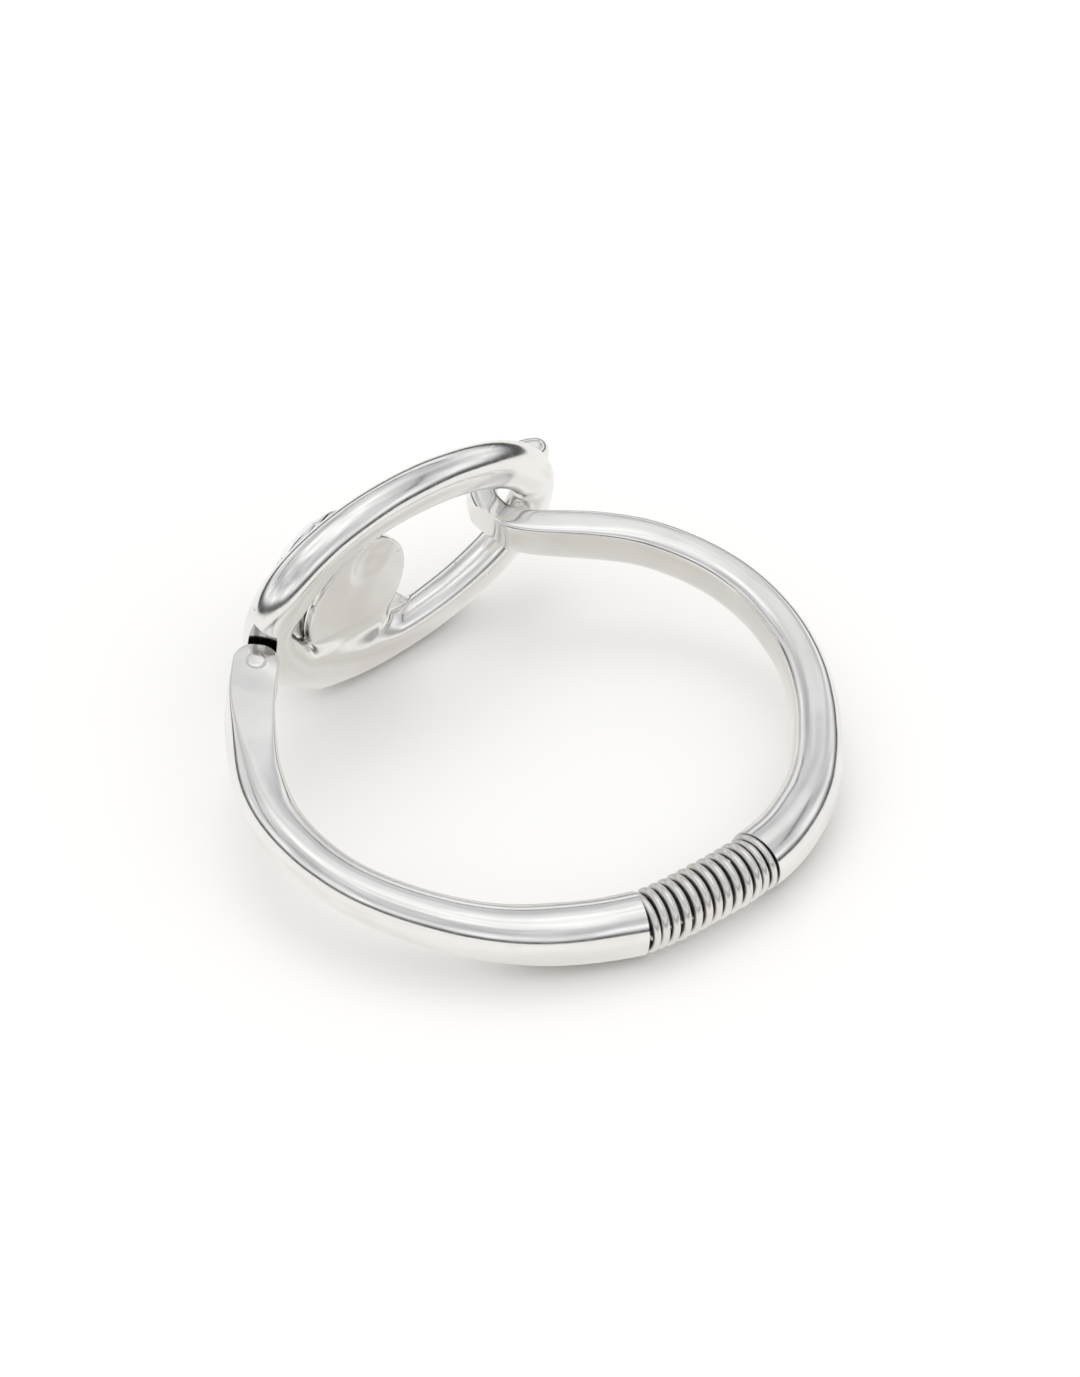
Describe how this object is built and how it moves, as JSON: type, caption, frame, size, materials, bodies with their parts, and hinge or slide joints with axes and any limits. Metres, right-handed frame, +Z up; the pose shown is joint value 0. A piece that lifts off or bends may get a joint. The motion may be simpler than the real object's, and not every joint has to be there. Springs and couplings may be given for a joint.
{
  "type": "bangle bracelet",
  "caption": "Cast bangle closed by a hinged oval link that drops over a hook, with a sprung wire coil at the back and a round stone setting on the link.",
  "frame": {"origin": "centre of the footprint, at the surface that the closed bangle rests on", "axes": "+Z up, -Y towards the front link, +X towards the hinge side, +Y towards the coil at the back"},
  "size_m": [0.0694, 0.0662, 0.0268],
  "materials": {
    "polished_silver": "polished silver plate with fine hand-cast undulation",
    "pin_silver": "filed flush and polished",
    "oxidised_silver": "polished crests with oxidised gaps",
    "core_cable": "dull steel cable",
    "ferrule_brass": "plain crimped brass",
    "clear_crystal": "cut and polished clear crystal"
  },
  "bodies": {
    "hinge_side": {"hinge_arm": "polished_silver", "hinge_pin": "pin_silver", "coil_spring": "oxidised_silver", "spring_core": "core_cable", "hinge_side_ferrule": "ferrule_brass"},
    "hook_side": {"hook_arm": "polished_silver", "hook_side_ferrule": "ferrule_brass"},
    "link": {"link_frame": "polished_silver", "medallion_setting": "polished_silver", "front_crystal": "clear_crystal"}
  },
  "joints": [
    {"name": "band_flex", "type": "hinge", "parent": "hinge_side", "child": "hook_side", "pos_m": [0.00106, 0.02966, 0.00344], "axis": [0, 0.1598, 0.9872], "range_deg": [0, 9], "stiffness_Nm_per_rad": 2, "deforming": ["coil_spring", "spring_core"]},
    {"name": "link_hinge", "type": "hinge", "parent": "hinge_side", "child": "link", "pos_m": [0.0207, -0.02063, 0.01158], "axis": [0, 0.1598, 0.9872], "range_deg": [0, 4.86]}
  ],
  "couplings": [
    {"joint": "link_hinge", "follows": "band_flex", "ratio": 0.54}
  ]
}
